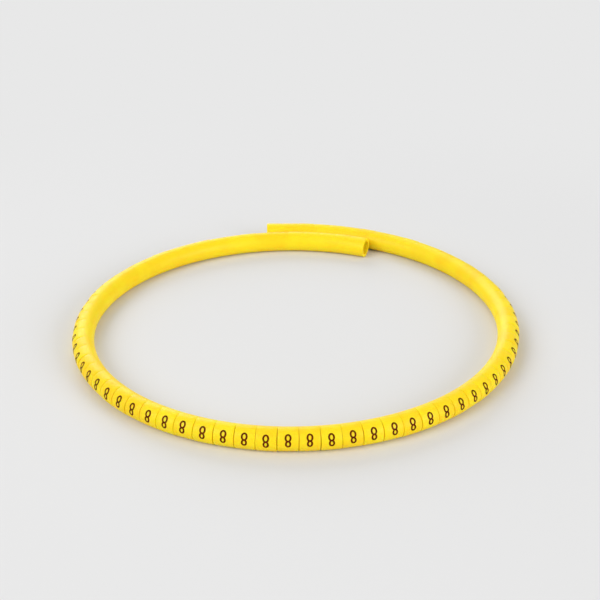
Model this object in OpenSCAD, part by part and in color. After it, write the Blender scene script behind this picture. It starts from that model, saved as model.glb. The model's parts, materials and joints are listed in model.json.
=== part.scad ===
// Cable marker strip: a soft tube, slit crosswise into short sleeves that stay joined by a web,
// lying flat as a loop whose two free ends lap at the back.

/* [Tube] */
// Bore that the wire is pushed through
bore_d = 4.2; // [2.5:0.1:6.5]
// Wall thickness of the tube
wall = 0.9; // [0.5:0.1:1.4]

/* [Sleeves] */
// Length of one sleeve, from slit to slit
sleeve_length = 5; // [3.5:0.1:8]
// Number of sleeves in the strip
sleeve_count = 80; // [40:1:120]
// Width that a slit has opened to at the printed face
slit_width = 0.15; // [0.1:0.05:0.8]
// Uncut depth that joins neighbouring sleeves, from the strip's inner face
web_depth = 2.3; // [1.2:0.1:3]

/* [Loop] */
// Angle by which the inner end runs on beside the outer one
lap_angle = 24; // [5:1:26]
// Room between the two ends where they lap
lap_gap = 0.6; // [0.5:0.1:2]
// Straight run of tube at the outer end
end_run = 8; // [6:0.5:20]

/* [Hidden] */

tube_od = bore_d + 2 * wall;
strip_length = sleeve_count * sleeve_length;

// The loop is two half turns that meet at the front, which is -Y
front = 270;
// The second one's centre and radius are moved by half of the lap's offset, so the outer end comes
// to lie beside the inner one
shift = (tube_od + lap_gap) / 2;
// The radius is a round number, and the inner end takes up what is left of the length
radius_step = 0.01;
exact_radius = (strip_length - end_run - PI * shift) / (2 * PI + lap_angle * PI / 180);
inner_radius = radius_step * floor(exact_radius / radius_step);
outer_radius = inner_radius + shift;
outer_length = PI * outer_radius;
inner_length = strip_length - end_run - outer_length;

// Overrun of the cutting shapes, less than the room between the ends
past = 0.1;
// Facets of the round surfaces
tube_facets = 64;
loop_facets = 360;

function turned(length, radius) = length / radius * 180 / PI;

// Place on the centre line, as [x, y, heading], at a distance from the inner end
function on_turn(centre_y, radius, angle) =
    [radius * cos(angle), centre_y + radius * sin(angle), angle + 90];
function place_at(s) =
    s < inner_length
        ? on_turn(0, inner_radius, front + turned(s - inner_length, inner_radius))
    : s < inner_length + outer_length
        ? on_turn(shift, outer_radius, front + turned(s - inner_length, outer_radius))
    : [inner_length + outer_length - s, shift + outer_radius, 180];

module section(d) {
    circle(d = d, $fn = tube_facets);
}

// Bent bar that leaves the front, clockwise where the angle is negative
module turn(centre_y, radius, angle, d) {
    translate([0, centre_y, 0])
        rotate(front)
            rotate_extrude(angle = angle, $fn = loop_facets)
                translate([radius, 0])
                    section(d);
}

// Round bar along the whole strip: the outside of the tube or, with an overrun, its bore
module bar(d, overrun = 0) {
    turn(0, inner_radius, -turned(inner_length + overrun, inner_radius), d);
    turn(shift, outer_radius, 180, d);
    translate([0, shift + outer_radius, 0])
        rotate([0, -90, 0])
            linear_extrude(end_run + overrun)
                section(d);
}

// Cut that starts at the web and opens towards the printed face
module slit() {
    depth = tube_od - web_depth;
    reach = depth + past;
    half_width = slit_width / 2 * reach / depth;
    translate([0, tube_od / 2 - web_depth, -tube_od / 2 - past])
        linear_extrude(tube_od + 2 * past)
            polygon([[0, 0], [half_width, -reach], [-half_width, -reach]]);
}

module slits() {
    for (i = [1:sleeve_count - 1]) {
        place = place_at(i * sleeve_length);
        translate([place.x, place.y, 0])
            rotate(place.z)
                slit();
    }
}

// The loop lies on its side, centred on its extents
module marker_strip() {
    color([0.98, 0.86, 0.16])
        translate([-shift / 2, -shift, tube_od / 2])
            difference() {
                bar(tube_od);
                bar(bore_d, past);
                slits();
            }
}

marker_strip();
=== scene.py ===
import json
import math

import bmesh
import bpy
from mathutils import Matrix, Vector


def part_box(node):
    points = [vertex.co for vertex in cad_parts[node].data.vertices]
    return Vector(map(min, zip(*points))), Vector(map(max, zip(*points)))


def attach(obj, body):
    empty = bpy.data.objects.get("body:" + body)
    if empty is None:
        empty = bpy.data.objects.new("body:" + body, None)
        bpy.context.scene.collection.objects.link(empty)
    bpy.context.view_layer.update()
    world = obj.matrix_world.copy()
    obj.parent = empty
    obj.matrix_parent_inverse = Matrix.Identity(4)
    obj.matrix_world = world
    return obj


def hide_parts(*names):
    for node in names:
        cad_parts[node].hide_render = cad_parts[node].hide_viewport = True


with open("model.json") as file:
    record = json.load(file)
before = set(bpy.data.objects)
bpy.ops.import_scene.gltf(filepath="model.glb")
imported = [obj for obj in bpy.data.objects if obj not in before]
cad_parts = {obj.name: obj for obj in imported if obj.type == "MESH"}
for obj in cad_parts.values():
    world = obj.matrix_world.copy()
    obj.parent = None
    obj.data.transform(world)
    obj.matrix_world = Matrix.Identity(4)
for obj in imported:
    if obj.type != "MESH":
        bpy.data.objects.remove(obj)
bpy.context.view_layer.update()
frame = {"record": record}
print("frame loaded")

# sizes in metres; what the frame gives is read from it
strip = {
    "sleeveLength": 0.005,    # from slit to slit
    "sleeveCount": 80,
    "slitWidth": 0.00015,     # opened by the bend, at the printed face
    "webDepth": 0.0023,       # left uncut at the inner face
    "lip": 0.00016,           # soft edge of a cut
    "skin": 0.00003,          # kept back from the solid, so that print and play stay inside it
    "slitColumns": 36,
    "webColumns": 12,
    "lipRows": 3,
    "spanRows": 4,
    "lipFade": 4,             # a lip is at most this many times half the slit, so it fades out at its end
    "lineStep": 0.5,          # degrees from point to point of the centre line
    "endPoints": 8,           # on its straight end
    "sharpAngle": 38,
    "merge": 1e-7,            # doubles within one sleeve
    "weld": 0.000002,         # sleeve to sleeve, at the web
    "tintSeed": 3,
}

low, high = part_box("marker_strip")
endMount = frame["record"]["mounts"][0]
tubeRadius = (high.z - low.z) / 2
boreRadius = endMount["dims"]["r_mm"] / 1000
turnShift = (high.y - low.y) - (high.x - low.x)     # the outer half turn is this much wider
innerRadius = (high.x - low.x - turnShift) / 2 - tubeRadius
outerRadius = innerRadius + turnShift
innerCentre = low + Vector((tubeRadius + innerRadius, tubeRadius + innerRadius, tubeRadius))
outerCentre = innerCentre + Vector((0, turnShift, 0))
endRun = innerCentre.x - endMount["pos_m"][0]
stripLength = strip["sleeveCount"] * strip["sleeveLength"]
printRadius = tubeRadius - strip["skin"]            # the visible tube's outside
webLine = tubeRadius - strip["webDepth"]            # where the slits stop, towards the loop's centre
slitDepth = tubeRadius + webLine


def newObject(name, data):
    made = bpy.data.objects.new(name, data)
    bpy.context.collection.objects.link(made)
    return made


# centre line: inner half turn to the front, outer half turn to the back, short straight end
def loopLine():
    step = math.radians(strip["lineStep"])
    front = math.radians(270)
    innerTurn = (stripLength - endRun - math.pi * outerRadius) / innerRadius
    endPoints = strip["endPoints"]

    def arc(centre, radius, start, turn):
        count = math.ceil(turn / step)
        angles = [start + turn * i / count for i in range(count + 1)]
        return [centre + radius * Vector((math.cos(a), math.sin(a), 0)) for a in angles]

    points = arc(innerCentre, innerRadius, front - innerTurn, innerTurn)
    points += arc(outerCentre, outerRadius, front, math.pi)[1:]
    tail = points[-1]
    points += [tail - Vector((endRun * i / endPoints, 0, 0)) for i in range(1, endPoints + 1)]
    curve = bpy.data.curves.new("loopLine", "CURVE")
    curve.dimensions = "3D"
    spline = curve.splines.new("POLY")
    spline.points.add(len(points) - 1)
    for knot, point in zip(spline.points, points):
        knot.co = (*point, 1)
    return newObject("loopLine", curve)


# node helpers: a value that is a socket is linked, any other is set
def addSockets(tree, direction, sockets):
    for label, kind, value in sockets:
        socket = tree.interface.new_socket(label, in_out=direction, socket_type="NodeSocket" + kind)
        if value is not None:
            socket.default_value = value


def addNode(tree, kind, inputs=None, **settings):
    node = tree.nodes.new(kind)
    for name, value in settings.items():
        setattr(node, name, value)
    for key, value in (inputs or {}).items():
        if isinstance(value, bpy.types.NodeSocket):
            tree.links.new(value, node.inputs[key])
        else:
            node.inputs[key].default_value = value
    return node


def addMath(tree, operation, *values):
    return addNode(tree, "ShaderNodeMath", dict(enumerate(values)), operation=operation).outputs[0]


def addVector(tree, operation, *values):
    return addNode(tree, "ShaderNodeVectorMath", dict(enumerate(values)), operation=operation).outputs[0]


def addScale(tree, vector, factor):
    return addNode(tree, "ShaderNodeVectorMath", {0: vector, "Scale": factor}, operation="SCALE").outputs[0]


def addParts(tree, vector):
    return addNode(tree, "ShaderNodeSeparateXYZ", {0: vector}).outputs


def joinParts(tree, **parts):
    return addNode(tree, "ShaderNodeCombineXYZ", parts).outputs[0]


# each sleeve sits a little off its neighbours, hinged on the web
play = {
    "slide": 0.00005,      # along the strip, each way
    "sink": 0.00012,       # towards the loop's centre
    "lift": 0.00012,       # up and down
    "lean": 0.024,         # slant of the cuts
    "seed": 8,
}


def sleevePlayTree():
    tree = bpy.data.node_groups.new("sleevePlay", "GeometryNodeTree")
    addSockets(tree, "INPUT", [
        ("Place", "Vector", None),
        ("Sleeve", "Int", 0),
        ("Web Line", "Float", webLine),
        ("Slit Depth", "Float", slitDepth),
        ("Slide", "Float", play["slide"]),
        ("Sink", "Float", play["sink"]),
        ("Lift", "Float", play["lift"]),
        ("Lean", "Float", play["lean"]),
        ("Seed", "Int", play["seed"]),
    ])
    addSockets(tree, "OUTPUT", [("Place", "Vector", None)])
    given = addNode(tree, "NodeGroupInput").outputs
    place = addParts(tree, given["Place"])
    aboveWeb = addMath(tree, "SUBTRACT", given["Web Line"], place["Y"])
    share = addNode(tree, "ShaderNodeClamp", {0: addMath(tree, "DIVIDE", aboveWeb, given["Slit Depth"])})
    chance = addNode(tree, "FunctionNodeRandomValue", {
        0: (-1, 0, -1), 1: (1, 1, 1), "ID": given["Sleeve"], "Seed": given["Seed"],
    }, data_type="FLOAT_VECTOR").outputs[0]
    amount = joinParts(tree, X=given["Slide"], Y=given["Sink"], Z=given["Lift"])
    slant = addNode(tree, "FunctionNodeRandomValue", {
        2: -1, 3: 1, "ID": given["Sleeve"], "Seed": addMath(tree, "ADD", given["Seed"], 1),
    }, data_type="FLOAT").outputs[1]
    leaning = addMath(tree, "MULTIPLY", addMath(tree, "MULTIPLY", slant, given["Lean"]), place["Z"])
    shift = addVector(tree, "ADD", addVector(tree, "MULTIPLY", chance, amount), joinParts(tree, X=leaning))
    moved = addVector(tree, "ADD", given["Place"], addScale(tree, shift, share.outputs[0]))
    addNode(tree, "NodeGroupOutput", {"Place": moved})
    return tree


# straight strip coordinates to the loop: x runs along the line, y towards the centre, z up
def bendTree():
    tree = bpy.data.node_groups.new("bendOntoLoop", "GeometryNodeTree")
    addSockets(tree, "INPUT", [("Line", "Geometry", None), ("Place", "Vector", None)])
    addSockets(tree, "OUTPUT", [("Place", "Vector", None)])
    given = addNode(tree, "NodeGroupInput").outputs
    place = addParts(tree, given["Place"])
    sample = addNode(tree, "GeometryNodeSampleCurve", mode="LENGTH")
    tree.links.new(given["Line"], sample.inputs["Curves"])
    tree.links.new(place["X"], sample.inputs["Length"])
    left = addVector(tree, "CROSS_PRODUCT", (0, 0, 1), sample.outputs["Tangent"])
    offset = addVector(tree, "ADD", addScale(tree, left, place["Y"]), joinParts(tree, Z=place["Z"]))
    addNode(tree, "NodeGroupOutput", {"Place": addVector(tree, "ADD", sample.outputs["Position"], offset)})
    return tree


# shared start of both rows: one point for each sleeve along a straight line
def sleevePoints(tree, given):
    middle = addMath(tree, "MULTIPLY", given["Sleeve Length"], 0.5)
    row = addNode(tree, "GeometryNodeMeshLine", {
        "Count": given["Sleeves"],
        "Start Location": joinParts(tree, X=middle),
        "Offset": joinParts(tree, X=given["Sleeve Length"]),
    })
    return row.outputs[0]


def storeOn(tree, geometry, name, value, kind, domain):
    node = addNode(tree, "GeometryNodeStoreNamedAttribute", data_type=kind, domain=domain)
    node.inputs["Name"].default_value = name
    tree.links.new(geometry, node.inputs["Geometry"])
    tree.links.new(value, node.inputs["Value"])
    return node.outputs[0]


# shared end of both rows: play, bend, material
def bendAndDress(tree, geometry, place, line, groups, material):
    number = addNode(tree, "GeometryNodeInputNamedAttribute", {"Name": "sleeve"}, data_type="INT").outputs[0]
    moved = addNode(tree, "GeometryNodeGroup", node_tree=groups["play"])
    tree.links.new(place, moved.inputs["Place"])
    tree.links.new(number, moved.inputs["Sleeve"])
    bent = addNode(tree, "GeometryNodeGroup", node_tree=groups["bend"])
    tree.links.new(line, bent.inputs["Line"])
    tree.links.new(moved.outputs[0], bent.inputs["Place"])
    laid = addNode(tree, "GeometryNodeSetPosition", {"Geometry": geometry, "Position": bent.outputs[0]})
    real = addNode(tree, "GeometryNodeRealizeInstances", {0: laid.outputs[0]})
    dressed = addNode(tree, "GeometryNodeSetMaterial", {"Geometry": real.outputs[0], "Material": material})
    addNode(tree, "NodeGroupOutput", {"Geometry": dressed.outputs[0]})


# runs a tree on the piece and keeps the result as its plain mesh
def runTree(piece, tree, values):
    modifier = piece.modifiers.new(tree.name, "NODES")
    modifier.node_group = tree
    for item in tree.interface.items_tree:
        if item.in_out == "INPUT" and item.name in values:
            modifier[item.identifier] = values[item.name]
    graph = bpy.context.evaluated_depsgraph_get()
    made = bpy.data.meshes.new_from_object(piece.evaluated_get(graph))
    piece.modifiers.remove(modifier)
    first = piece.data
    piece.data = made
    bpy.data.meshes.remove(first)
    made.name = piece.name


# one sleeve, straight: x along the strip, printed face to -y, open where the web goes on
def sleeveMesh():
    half = strip["sleeveLength"] / 2
    bm = bmesh.new()

    def cutEnd(y):
        return half - strip["slitWidth"] / 2 * max(0, webLine - y) / slitDepth

    def columns(radius):
        apex = math.acos(-webLine / radius)
        slit = [apex * (2 * i / strip["slitColumns"] - 1) for i in range(strip["slitColumns"])]
        web = [apex + 2 * (math.pi - apex) * i / strip["webColumns"] for i in range(strip["webColumns"])]
        return slit + web

    def addVert(x, radius, angle):
        return bm.verts.new((x, -radius * math.cos(angle), radius * math.sin(angle)))

    # from one cut to the other, with the lips rolled over
    def outerColumn(angle):
        reach = cutEnd(-printRadius * math.cos(angle))
        lip = min(strip["lip"], strip["lipFade"] * (half - reach))
        edge = []
        for i in range(strip["lipRows"]):
            roll = math.pi / 2 * (1 - i / (strip["lipRows"] - 1))
            edge.append((reach - lip + lip * math.sin(roll), printRadius - lip * (1 - math.cos(roll))))
        flat = reach - lip
        span = [(flat * (1 - 2 * i / strip["spanRows"]), printRadius) for i in range(1, strip["spanRows"])]
        rows = edge + span + [(-x, radius) for x, radius in reversed(edge)]
        return [addVert(x, radius, angle) for x, radius in rows]

    def boreColumn(angle):
        reach = cutEnd(-boreRadius * math.cos(angle))
        count = strip["spanRows"]
        return [addVert(reach * (1 - 2 * i / count), boreRadius, angle) for i in range(count + 1)]

    outside = [outerColumn(angle) for angle in columns(printRadius)]
    bore = [boreColumn(angle) for angle in columns(boreRadius)]
    for i in range(len(outside)):
        here, there = outside[i], outside[(i + 1) % len(outside)]
        boreHere, boreThere = bore[i], bore[(i + 1) % len(bore)]
        for j in range(len(here) - 1):
            bm.faces.new((here[j], here[j + 1], there[j + 1], there[j]))
        for j in range(len(boreHere) - 1):
            bm.faces.new((boreHere[j], boreThere[j], boreThere[j + 1], boreHere[j + 1]))
        if i < strip["slitColumns"]:
            bm.faces.new((here[0], there[0], boreThere[0], boreHere[0]))
            bm.faces.new((here[-1], boreHere[-1], boreThere[-1], there[-1]))
    bmesh.ops.remove_doubles(bm, verts=bm.verts, dist=strip["merge"])
    mesh = bpy.data.meshes.new("sleeve")
    bm.to_mesh(mesh)
    bm.free()
    return mesh


def stripTree(groups, material):
    tree = bpy.data.node_groups.new("sleeveStrip", "GeometryNodeTree")
    addSockets(tree, "INPUT", [
        ("Geometry", "Geometry", None),
        ("Loop Line", "Object", None),
        ("Sleeves", "Int", strip["sleeveCount"]),
        ("Sleeve Length", "Float", strip["sleeveLength"]),
        ("Weld", "Float", strip["weld"]),
        ("Tint Seed", "Int", strip["tintSeed"]),
    ])
    addSockets(tree, "OUTPUT", [("Geometry", "Geometry", None)])
    given = addNode(tree, "NodeGroupInput").outputs
    line = addNode(tree, "GeometryNodeObjectInfo", {"Object": given["Loop Line"]}).outputs["Geometry"]
    copies = addNode(tree, "GeometryNodeInstanceOnPoints", {
        "Points": sleevePoints(tree, given), "Instance": given["Geometry"],
    }).outputs[0]
    index = addNode(tree, "GeometryNodeInputIndex").outputs[0]
    tint = addNode(tree, "FunctionNodeRandomValue", {"ID": index, "Seed": given["Tint Seed"]}).outputs[1]
    numbered = storeOn(tree, copies, "sleeve", index, "INT", "INSTANCE")
    tinted = storeOn(tree, numbered, "tint", tint, "FLOAT", "INSTANCE")
    real = addNode(tree, "GeometryNodeRealizeInstances", {0: tinted}).outputs[0]
    welded = addNode(tree, "GeometryNodeMergeByDistance", {0: real, "Distance": given["Weld"]}).outputs[0]
    place = addNode(tree, "GeometryNodeInputPosition").outputs[0]
    marked = storeOn(tree, welded, "straight", place, "FLOAT_VECTOR", "POINT")
    bendAndDress(tree, marked, place, line, groups, material)
    return tree


# closes the two cut ends and turns the faces outwards
def finishStrip(mesh):
    bm = bmesh.new()
    bm.from_mesh(mesh)
    openEdges = [edge for edge in bm.edges if edge.is_boundary]
    bmesh.ops.holes_fill(bm, edges=openEdges)
    bmesh.ops.recalc_face_normals(bm, faces=bm.faces)
    for face in bm.faces:
        face.smooth = True
    left = sum(not edge.is_manifold for edge in bm.edges)
    print("strip:", len(bm.faces), "faces,", len(openEdges), "end edges closed,", left, "left open")
    bm.to_mesh(mesh)
    bm.free()
    mesh.set_sharp_from_angle(angle=math.radians(strip["sharpAngle"]))


# the printed figure: two rings of one stroke that share a waist, as a thin film of ink
figure = {
    "height": 0.0034,
    "topWidth": 0.00158,
    "baseWidth": 0.00143,
    "topShare": 0.535,        # of the height, down to the middle of the waist
    "stroke": 0.00044,
    "raised": 0.000012,       # ink above the sleeve
    "sunk": 0.000008,         # and into it, so that no edge stands off
    "ringPoints": 20,
    "strokeRows": 2,
    "waistPoints": 8,
    "waistRows": 5,
    "stray": (0.00012, 0.0001, 0),
    "turn": 1.6,              # degrees, each way
    "rise": 0.00112,          # middle of the row above the tube's widest line
    "drift": 0.00022,         # slow wander of the row round the tube
    "wanderStep": 0.09,       # how far the wander gets from one sleeve to the next
    "wanderLow": 0.25,        # its noise lies between these
    "wanderHigh": 0.75,
    "seed": 5,
    "halvings": 40,           # to find where the two rings cross
    "merge": 1e-7,
}


def figureMesh():
    stroke = figure["stroke"]
    waist = figure["height"] * (0.5 - figure["topShare"])
    top = figure["height"] / 2
    topRing = ((top + waist - stroke / 2) / 2, figure["topWidth"] / 2, (top - waist + stroke / 2) / 2)
    baseRing = ((waist + stroke / 2 - top) / 2, figure["baseWidth"] / 2, (waist + stroke / 2 + top) / 2)

    # height where the outsides of the two rings cross, by halving
    def widthAt(ring, v):
        centre, across, up = ring
        return across * math.sqrt(max(0, 1 - ((v - centre) / up) ** 2))

    below, above = waist - stroke / 2, waist + stroke / 2
    for _ in range(figure["halvings"]):
        cross = (below + above) / 2
        if widthAt(topRing, cross) < widthAt(baseRing, cross):
            below = cross
        else:
            above = cross
    topStart = math.asin((cross - topRing[0]) / topRing[2])
    baseStart = math.asin((cross - baseRing[0]) / baseRing[2])

    def sweep(start, turn, count):
        return [start + turn * i / count for i in range(count + 1)]

    topSweep = sweep(topStart, math.pi - 2 * topStart, figure["ringPoints"])
    baseSweep = sweep(math.pi - baseStart, math.pi + 2 * baseStart, figure["ringPoints"])
    topWaist = sweep(math.pi - topStart, math.pi + 2 * topStart, figure["waistPoints"])
    baseWaist = sweep(math.pi - baseStart, 2 * baseStart - math.pi, figure["waistPoints"])
    bm = bmesh.new()

    def row(ring, inset, angles):
        centre, across, up = ring
        places = [((across - inset) * math.cos(a), centre + (up - inset) * math.sin(a)) for a in angles]
        return [bm.verts.new((u, v, figure["raised"])) for u, v in places]

    def weave(rows):
        for here, there in zip(rows, rows[1:]):
            for i in range(len(here) - 1):
                bm.faces.new((here[i], here[i + 1], there[i + 1], there[i]))

    # enough rows for the film to follow the round tube
    for ring, angles in ((topRing, topSweep), (baseRing, baseSweep)):
        count = figure["strokeRows"]
        weave([row(ring, stroke * i / count, angles) for i in range(count + 1)])
    upper, lower = row(topRing, stroke, topWaist), row(baseRing, stroke, baseWaist)
    between = [lower]
    for i in range(1, figure["waistRows"]):
        share = i / figure["waistRows"]
        between.append([bm.verts.new(a.co.lerp(b.co, share)) for a, b in zip(lower, upper)])
    between.append(upper)
    weave(between)
    # fans at the waist's two ends, with the same rows as the strokes that they meet
    for end, column in zip(row(topRing, 0, (topSweep[-1], topSweep[0])), (0, -1)):
        side = [points[column] for points in between]
        fan = []
        for i in range(1, figure["strokeRows"]):
            share = i / figure["strokeRows"]
            fan.append([bm.verts.new(end.co.lerp(vert.co, share)) for vert in side])
        fan.append(side)
        weave(fan)
        for one, other in zip(fan[0], fan[0][1:]):
            bm.faces.new((end, one, other))
    bmesh.ops.remove_doubles(bm, verts=bm.verts, dist=figure["merge"])
    # the film's underside and its rims
    inkFaces = bm.faces[:]
    rims = [edge.verts[:] for edge in bm.edges if edge.is_boundary]
    under = {vert: bm.verts.new((vert.co.x, vert.co.y, -figure["sunk"])) for vert in bm.verts[:]}
    for ink in inkFaces:
        bm.faces.new([under[vert] for vert in reversed(ink.verts)])
    for one, other in rims:
        bm.faces.new((one, other, under[other], under[one]))
    bmesh.ops.recalc_face_normals(bm, faces=bm.faces)
    left = sum(not edge.is_manifold for edge in bm.edges)
    print("figure:", len(bm.faces), "faces,", left, "edges left open")
    mesh = bpy.data.meshes.new("figure")
    bm.to_mesh(mesh)
    bm.free()
    return mesh


def printTree(groups, material):
    tree = bpy.data.node_groups.new("printedRow", "GeometryNodeTree")
    addSockets(tree, "INPUT", [
        ("Geometry", "Geometry", None),
        ("Loop Line", "Object", None),
        ("Sleeves", "Int", strip["sleeveCount"]),
        ("Sleeve Length", "Float", strip["sleeveLength"]),
        ("Tube Radius", "Float", printRadius),
        ("Stray", "Vector", figure["stray"]),
        ("Turn", "Float", math.radians(figure["turn"])),
        ("Rise", "Float", figure["rise"]),
        ("Drift", "Float", figure["drift"]),
        ("Seed", "Int", figure["seed"]),
    ])
    addSockets(tree, "OUTPUT", [("Geometry", "Geometry", None)])
    given = addNode(tree, "NodeGroupInput").outputs
    line = addNode(tree, "GeometryNodeObjectInfo", {"Object": given["Loop Line"]}).outputs["Geometry"]
    index = addNode(tree, "GeometryNodeInputIndex").outputs[0]
    chance = addNode(tree, "FunctionNodeRandomValue", {
        0: (-1, -1, -1), 1: (1, 1, 1), "ID": index, "Seed": given["Seed"],
    }, data_type="FLOAT_VECTOR").outputs[0]
    wander = addNode(tree, "ShaderNodeTexNoise", {
        "W": addMath(tree, "MULTIPLY", index, figure["wanderStep"]), "Scale": 1, "Detail": 1,
    }, noise_dimensions="1D").outputs[0]
    swing = addNode(tree, "ShaderNodeMapRange", {
        0: wander, 1: figure["wanderLow"], 2: figure["wanderHigh"], 3: -1, 4: 1,
    }).outputs[0]
    height = addMath(tree, "MULTIPLY_ADD", swing, given["Drift"], given["Rise"])
    stray = addVector(tree, "MULTIPLY_ADD", chance, given["Stray"], joinParts(tree, Y=height))
    points = addNode(tree, "GeometryNodeSetPosition", {
        "Geometry": sleevePoints(tree, given), "Offset": stray,
    }).outputs[0]
    turn = joinParts(tree, Z=addMath(tree, "MULTIPLY", addParts(tree, chance)["Z"], given["Turn"]))
    copies = addNode(tree, "GeometryNodeInstanceOnPoints", {
        "Points": points, "Instance": given["Geometry"], "Rotation": turn,
    }).outputs[0]
    numbered = storeOn(tree, copies, "sleeve", index, "INT", "INSTANCE")
    real = addNode(tree, "GeometryNodeRealizeInstances", {0: numbered}).outputs[0]
    flat = addNode(tree, "GeometryNodeInputPosition").outputs[0]
    marked = storeOn(tree, real, "straight", flat, "FLOAT_VECTOR", "POINT")
    # wrapped round the tube: height becomes an angle from the printed face
    parts = addParts(tree, flat)
    radius = addMath(tree, "ADD", given["Tube Radius"], parts["Z"])
    angle = addMath(tree, "DIVIDE", parts["Y"], given["Tube Radius"])
    outward = addMath(tree, "MULTIPLY", radius, addMath(tree, "COSINE", angle))
    place = joinParts(
        tree, X=parts["X"], Y=addMath(tree, "MULTIPLY", outward, -1),
        Z=addMath(tree, "MULTIPLY", radius, addMath(tree, "SINE", angle)),
    )
    bendAndDress(tree, marked, place, line, groups, material)
    return tree


softGrain = {
    "cloudDetail": 3,
    "grainDetail": 2,
    "lineDetail": 1,
    "noiseRoughness": 0.55,
    "lineStretch": 0.03,      # the drawn lines are this much finer across than along
    "grainShare": 0.6,        # of the bump, the rest is drawn lines
    "noiseLow": 0.3,          # nearly all of a noise lies between these
    "noiseHigh": 0.7,
}


# cloudy mottle, fine grain and faint lines drawn along the strip, for plastic and ink alike
def softGrainGroup():
    tree = bpy.data.node_groups.new("softGrain", "ShaderNodeTree")
    addSockets(tree, "INPUT", [
        ("Place", "Vector", None),
        ("Cloud Scale", "Float", 200.0),
        ("Grain Scale", "Float", 5000.0),
        ("Line Scale", "Float", 3000.0),
    ])
    addSockets(tree, "OUTPUT", [
        ("Clouds", "Float", None),
        ("Grain", "Float", None),
        ("Height", "Float", None),
    ])
    given = addNode(tree, "NodeGroupInput").outputs

    def noise(place, scale, detail):
        return addNode(tree, "ShaderNodeTexNoise", {
            "Vector": place, "Scale": scale, "Detail": detail,
            "Roughness": softGrain["noiseRoughness"],
        }).outputs[0]

    drawn = addVector(tree, "MULTIPLY", given["Place"], (softGrain["lineStretch"], 1, 1))
    clouds = noise(given["Place"], given["Cloud Scale"], softGrain["cloudDetail"])
    grain = noise(given["Place"], given["Grain Scale"], softGrain["grainDetail"])
    lines = noise(drawn, given["Line Scale"], softGrain["lineDetail"])
    share = softGrain["grainShare"]
    height = addMath(tree, "MULTIPLY_ADD", grain, share, addMath(tree, "MULTIPLY", lines, 1 - share))
    addNode(tree, "NodeGroupOutput", {"Clouds": clouds, "Grain": grain, "Height": height})
    return tree


def newMaterial(name):
    material = bpy.data.materials.new(name)
    material.use_nodes = True
    tree = material.node_tree
    return material, tree, tree.nodes["Principled BSDF"]


def addGrain(tree, group, scales):
    grain = addNode(tree, "ShaderNodeGroup", node_tree=group)
    place = addNode(tree, "ShaderNodeAttribute", attribute_name="straight").outputs["Vector"]
    tree.links.new(place, grain.inputs["Place"])
    for name, value in scales.items():
        grain.inputs[name].default_value = value
    return grain.outputs


def addRamp(tree, factor, stops):
    ramp = addNode(tree, "ShaderNodeValToRGB", {"Fac": factor})
    first, last = ramp.color_ramp.elements
    for element, (position, colour) in zip((first, last), stops):
        element.position = position
        element.color = colour
    return ramp.outputs["Color"]


def spread(tree, factor, lowest, highest):
    return addNode(tree, "ShaderNodeMapRange", {
        0: factor, 1: softGrain["noiseLow"], 2: softGrain["noiseHigh"], 3: lowest, 4: highest,
    }).outputs[0]


# what both finishes take from the grain: roughness, bump and gloss
def addFinish(tree, shader, grain, finish):
    tree.links.new(spread(tree, grain["Grain"], *finish["roughness"]), shader.inputs["Roughness"])
    bump = addNode(tree, "ShaderNodeBump", {
        "Height": grain["Height"], "Distance": finish["bumpDistance"], "Strength": finish["bumpStrength"],
    })
    tree.links.new(bump.outputs[0], shader.inputs["Normal"])
    shader.inputs["Specular IOR Level"].default_value = finish["gloss"]


yellowPlastic = {
    "grain": {"Cloud Scale": 210.0, "Grain Scale": 4800.0, "Line Scale": 2600.0},
    "deep": (0.982, 0.655, 0.005, 1),
    "pale": (0.990, 0.727, 0.008, 1),
    "tintShare": 0.4,                       # how far one sleeve differs from the next
    "roughness": (0.42, 0.54),
    "gloss": 0.25,
    "scatterWeight": 0.5,
    "scatterReach": 0.0009,
    "scatterRadius": (1.0, 0.35, 0.05),     # red goes furthest, so the cuts glow orange
    "bumpDistance": 0.00002,
    "bumpStrength": 0.35,
}


def yellowMaterial(group):
    material, tree, shader = newMaterial("yellowPlastic")
    grain = addGrain(tree, group, yellowPlastic["grain"])
    tint = addNode(tree, "ShaderNodeAttribute", attribute_name="tint").outputs["Fac"]
    differs = addMath(tree, "MULTIPLY", addMath(tree, "SUBTRACT", tint, 0.5), yellowPlastic["tintShare"])
    shade = addMath(tree, "ADD", grain["Clouds"], differs)
    stops = [(softGrain["noiseLow"], yellowPlastic["deep"]), (softGrain["noiseHigh"], yellowPlastic["pale"])]
    tree.links.new(addRamp(tree, shade, stops), shader.inputs["Base Color"])
    addFinish(tree, shader, grain, yellowPlastic)
    shader.inputs["Subsurface Weight"].default_value = yellowPlastic["scatterWeight"]
    shader.inputs["Subsurface Scale"].default_value = yellowPlastic["scatterReach"]
    shader.inputs["Subsurface Radius"].default_value = yellowPlastic["scatterRadius"]
    return material


printInk = {
    "grain": {"Cloud Scale": 1400.0, "Grain Scale": 9000.0, "Line Scale": 3000.0},
    "full": (0.085, 0.0090, 0.0005, 1),
    "thin": (0.190, 0.0340, 0.0015, 1),
    "thinFrom": 0.35,
    "thinFull": 0.75,
    "roughness": (0.45, 0.62),
    "gloss": 0.05,
    "bumpDistance": 0.00001,
    "bumpStrength": 0.3,
}


def inkMaterial(group):
    material, tree, shader = newMaterial("printInk")
    grain = addGrain(tree, group, printInk["grain"])
    stops = [(printInk["thinFrom"], printInk["full"]), (printInk["thinFull"], printInk["thin"])]
    tree.links.new(addRamp(tree, grain["Clouds"], stops), shader.inputs["Base Color"])
    addFinish(tree, shader, grain, printInk)
    return material


grainGroup = softGrainGroup()
line = loopLine()
groups = {"play": sleevePlayTree(), "bend": bendTree()}

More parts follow.
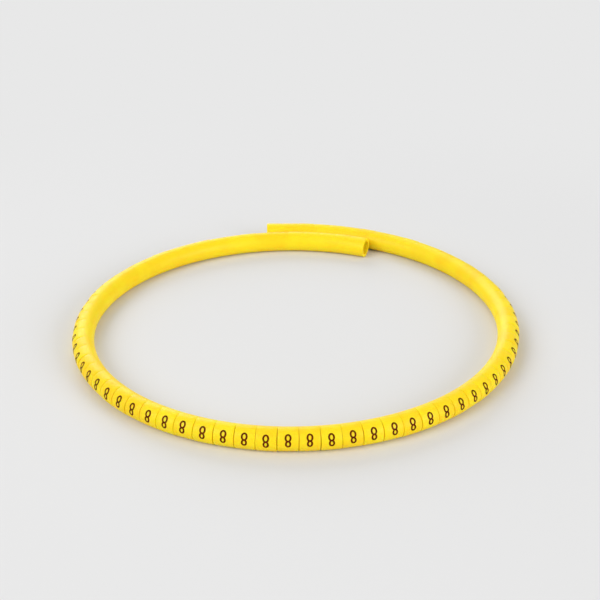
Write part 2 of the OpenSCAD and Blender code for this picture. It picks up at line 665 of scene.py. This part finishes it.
stripPiece = newObject("sleeve_strip", sleeveMesh())
runTree(stripPiece, stripTree(groups, yellowMaterial(grainGroup)), {"Loop Line": line})
finishStrip(stripPiece.data)
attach(stripPiece, "root")
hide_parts("marker_strip")

printPiece = newObject("printed_figures", figureMesh())
runTree(printPiece, printTree(groups, inkMaterial(grainGroup)), {"Loop Line": line})
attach(printPiece, "root")
print("print:", len(printPiece.data.polygons), "faces")

lineCurve = line.data
bpy.data.objects.remove(line)
bpy.data.curves.remove(lineCurve)


# pale floor that runs into an even pale ground, wide enough for a low view
studio = {
    "floorRadius": 4.0,
    "floorSides": 64,
    "floorColour": (0.728, 0.728, 0.728, 1),
    "floorDark": (0.720, 0.720, 0.720, 1),
    "floorClouds": 3.0,
    "floorRoughness": 0.9,
    "floorGloss": 0.1,
    "farColour": (0.807, 0.807, 0.807, 1),
    "farFrom": 0.085,         # the even ground begins here
    "farFull": 0.20,
    "skyLight": 0.53,
    "lamps": {                # place, size, watts
        "leftLamp": ((-1.05, -0.80, 0.92), 1.0, 11.8),
        "rightLamp": ((1.20, -0.85, 0.58), 0.9, 11.4),
        "backLamp": ((-0.40, 1.20, 0.60), 1.0, 9.0),
    },
}


def addFloor():
    bm = bmesh.new()
    bmesh.ops.create_circle(
        bm, cap_ends=True, segments=studio["floorSides"], radius=studio["floorRadius"],
    )
    mesh = bpy.data.meshes.new("floor")
    bm.to_mesh(mesh)
    bm.free()
    floor = newObject("floor", mesh)
    floor.location.z = low.z
    material, tree, shader = newMaterial("paleFloor")
    place = addNode(tree, "ShaderNodeTexCoord").outputs["Object"]
    cloud = addNode(tree, "ShaderNodeTexNoise", {"Vector": place, "Scale": studio["floorClouds"]}).outputs[0]
    stops = [(softGrain["noiseLow"], studio["floorDark"]), (softGrain["noiseHigh"], studio["floorColour"])]
    tree.links.new(addRamp(tree, cloud, stops), shader.inputs["Base Color"])
    shader.inputs["Roughness"].default_value = studio["floorRoughness"]
    shader.inputs["Specular IOR Level"].default_value = studio["floorGloss"]
    away = addNode(tree, "ShaderNodeVectorMath", {0: place}, operation="LENGTH").outputs["Value"]
    far = addNode(tree, "ShaderNodeMapRange", {
        0: away, 1: studio["farFrom"], 2: studio["farFull"],
    }, interpolation_type="SMOOTHSTEP").outputs[0]
    ray = addNode(tree, "ShaderNodeLightPath").outputs["Is Camera Ray"]
    even = addNode(tree, "ShaderNodeEmission", {"Color": studio["farColour"], "Strength": 1.0})
    both = addNode(tree, "ShaderNodeMixShader", {
        0: addMath(tree, "MULTIPLY", far, ray), 1: shader.outputs[0], 2: even.outputs[0],
    })
    tree.links.new(both.outputs[0], tree.nodes["Material Output"].inputs["Surface"])
    mesh.materials.append(material)


def addLights():
    world = bpy.data.worlds.new("studioSky")
    bpy.context.scene.world = world
    world.use_nodes = True
    tree = world.node_tree
    tree.nodes.clear()
    lit = addNode(tree, "ShaderNodeBackground", {"Color": (1, 1, 1, 1), "Strength": studio["skyLight"]})
    seen = addNode(tree, "ShaderNodeBackground", {"Color": studio["farColour"], "Strength": 1.0})
    ray = addNode(tree, "ShaderNodeLightPath").outputs["Is Camera Ray"]
    both = addNode(tree, "ShaderNodeMixShader", {0: ray, 1: lit.outputs[0], 2: seen.outputs[0]})
    addNode(tree, "ShaderNodeOutputWorld", {"Surface": both.outputs[0]})
    for name, (place, size, watts) in studio["lamps"].items():
        lamp = bpy.data.lights.new(name, "AREA")
        lamp.shape = "DISK"
        lamp.size = size
        lamp.energy = watts
        holder = newObject(name, lamp)
        holder.visible_camera = False       # stays out of low views
        holder.location = place
        holder.rotation_euler = (-Vector(place)).to_track_quat("-Z", "Y").to_euler()


shot = {
    "elevation": 27,                  # degrees above the floor
    "distance": 0.37,
    "lens": 77,
    "nearest": 0.01,
    "aim": (0.0009, 0.0125, 0.0030),
}


def addCamera():
    data = bpy.data.cameras.new("camera")
    data.lens = shot["lens"]
    data.clip_start = shot["nearest"]
    camera = newObject("camera", data)
    aim = Vector(shot["aim"])
    rise = math.radians(shot["elevation"])
    camera.location = aim + shot["distance"] * Vector((0, -math.cos(rise), math.sin(rise)))
    camera.rotation_euler = (aim - camera.location).to_track_quat("-Z", "Y").to_euler()
    bpy.context.scene.camera = camera


addFloor()
addLights()
addCamera()
bpy.context.scene.view_settings.view_transform = "Standard"
print("floor, lamps and camera set")
